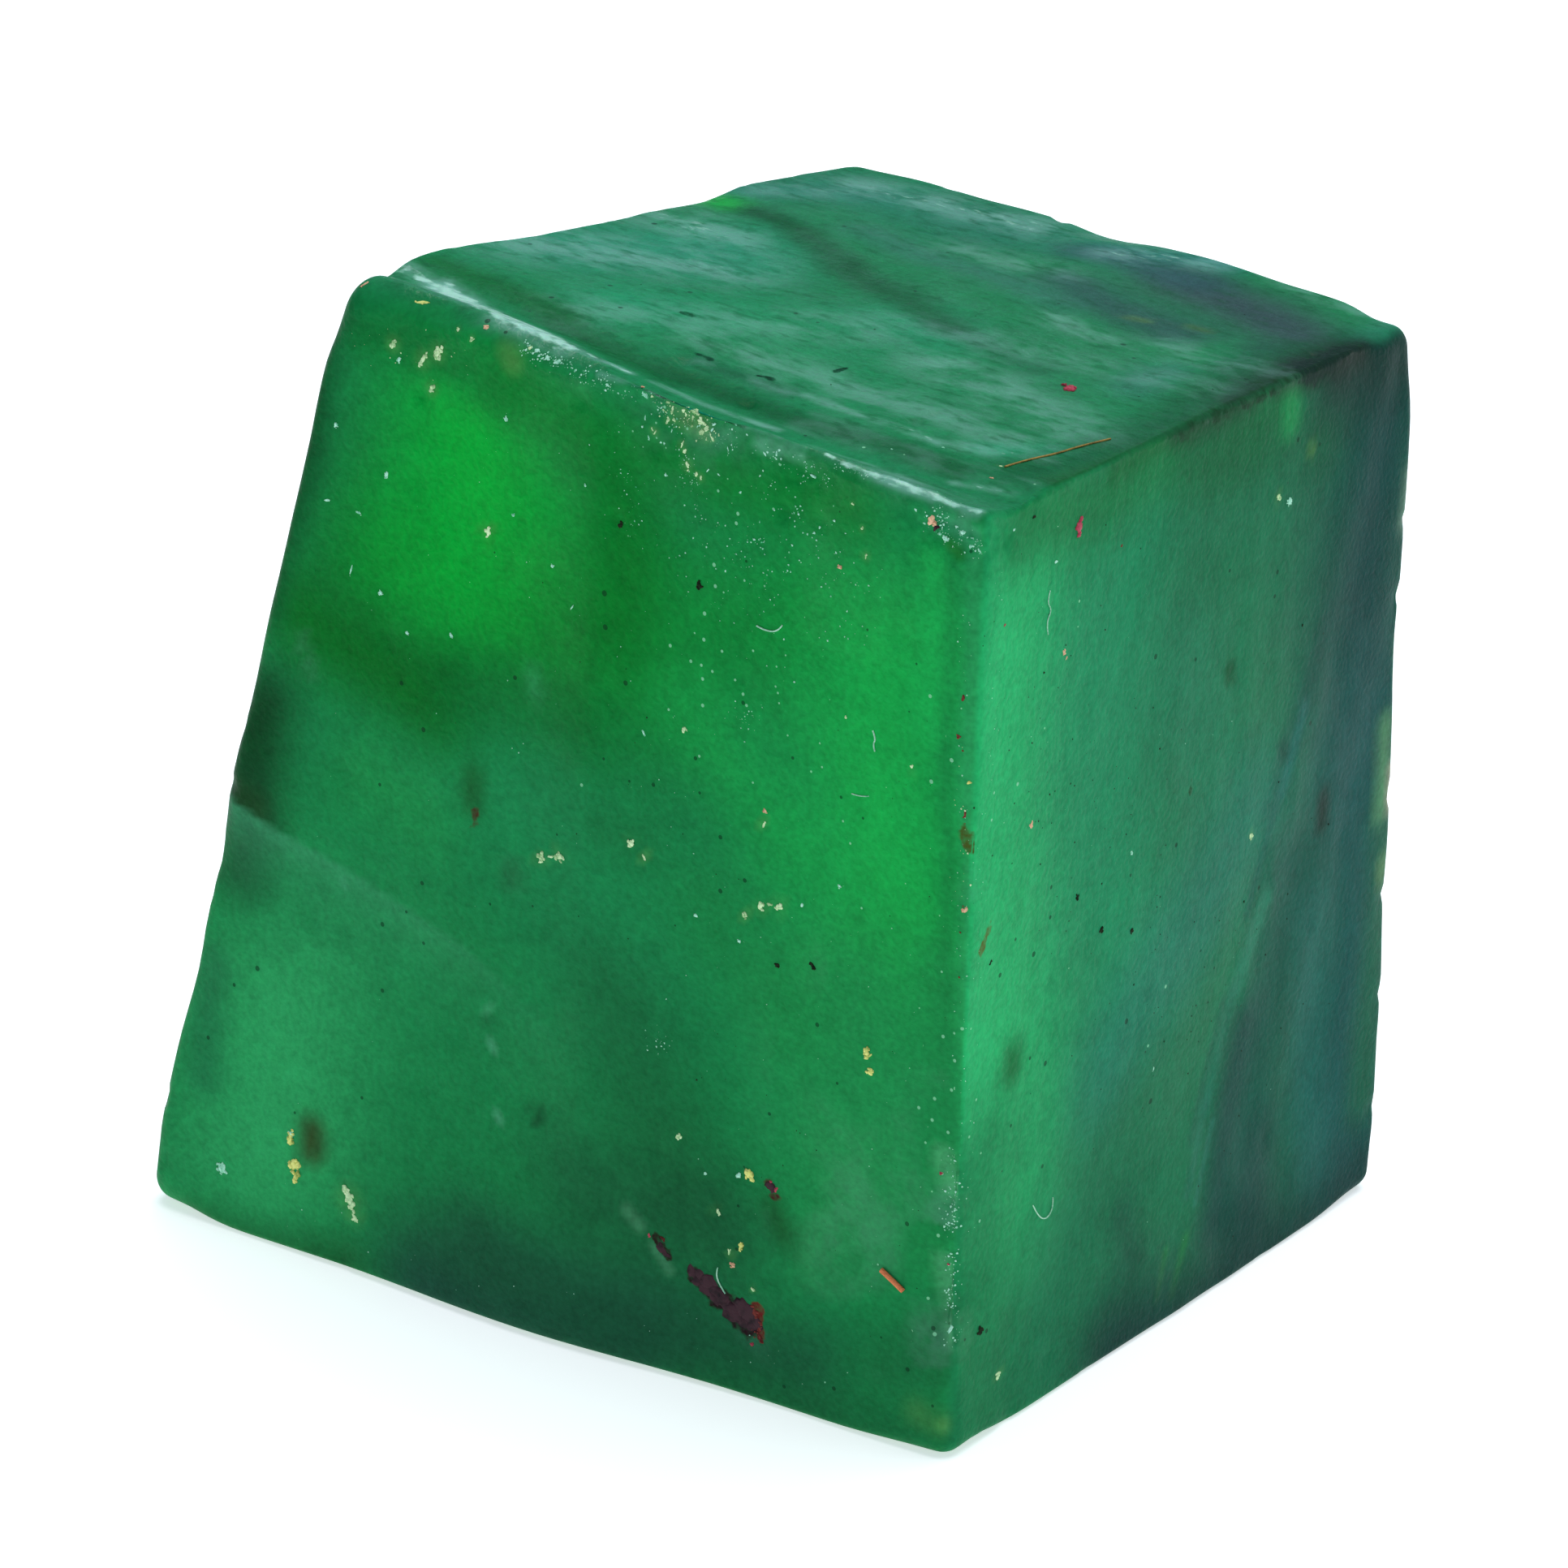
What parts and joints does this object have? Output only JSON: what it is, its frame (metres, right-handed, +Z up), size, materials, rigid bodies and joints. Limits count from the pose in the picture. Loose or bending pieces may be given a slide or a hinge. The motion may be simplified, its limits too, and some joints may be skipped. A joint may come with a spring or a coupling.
{
  "type": "raw emerald",
  "caption": "Rough block of cloudy green emerald with sawn and broken faces, worn edges and one leaning side, standing on its flat foot.",
  "frame": {"origin": "under the middle of the block, on the surface that it stands on", "axes": "+Z up; the front face looks towards -Y and the side that leans inwards is at -X"},
  "size_m": [0.0408, 0.0342, 0.041],
  "materials": {
    "emerald": "satin"
  },
  "bodies": {
    "root": {"emerald": "emerald"}
  },
  "joints": []
}
